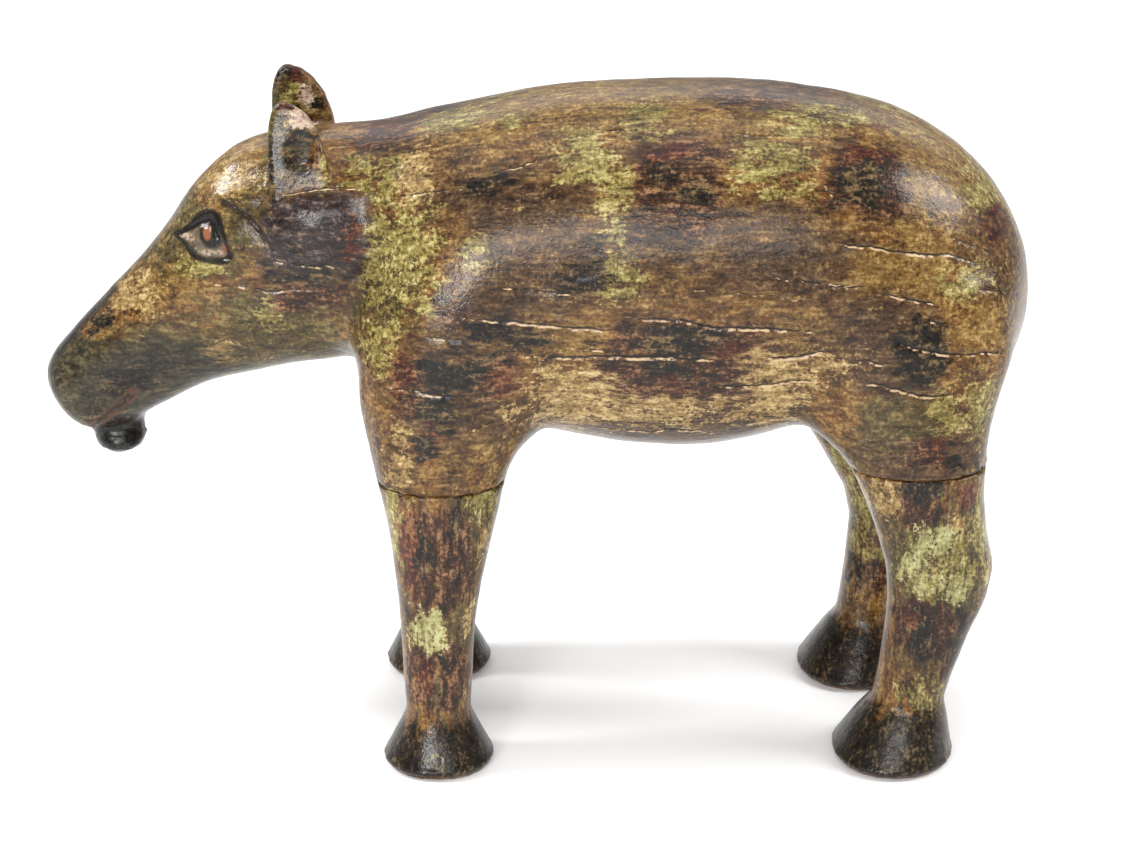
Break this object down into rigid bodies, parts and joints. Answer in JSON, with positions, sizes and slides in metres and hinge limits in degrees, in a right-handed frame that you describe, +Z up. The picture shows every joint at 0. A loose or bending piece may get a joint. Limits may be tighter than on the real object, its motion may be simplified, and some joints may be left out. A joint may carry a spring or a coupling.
{
  "type": "carved wooden pig",
  "caption": "Carved, painted wooden pig with a long blunt snout, upright ears, barrel body and flared hooves; a floor ornament that stands on legs glued under its body.",
  "frame": {"origin": "on the floor, under the middle of the overall box", "axes": "+X runs from snout to rump, so the pig faces -X; +Y is the pig's right side; +Z is up"},
  "size_m": [0.898, 0.3066, 0.623],
  "materials": {
    "body_wood": "mottled paint in yellow-green, brown and dark red, rubbed, cracked along the grain and varnished to a satin gloss",
    "leg_wood": "mottled paint in brown, dark red and pale green with near-black hooves, rubbed and varnished to a satin gloss"
  },
  "bodies": {
    "root": {"body": "body_wood", "front_left_leg": "leg_wood", "front_right_leg": "leg_wood", "hind_left_leg": "leg_wood", "hind_right_leg": "leg_wood"}
  },
  "joints": []
}
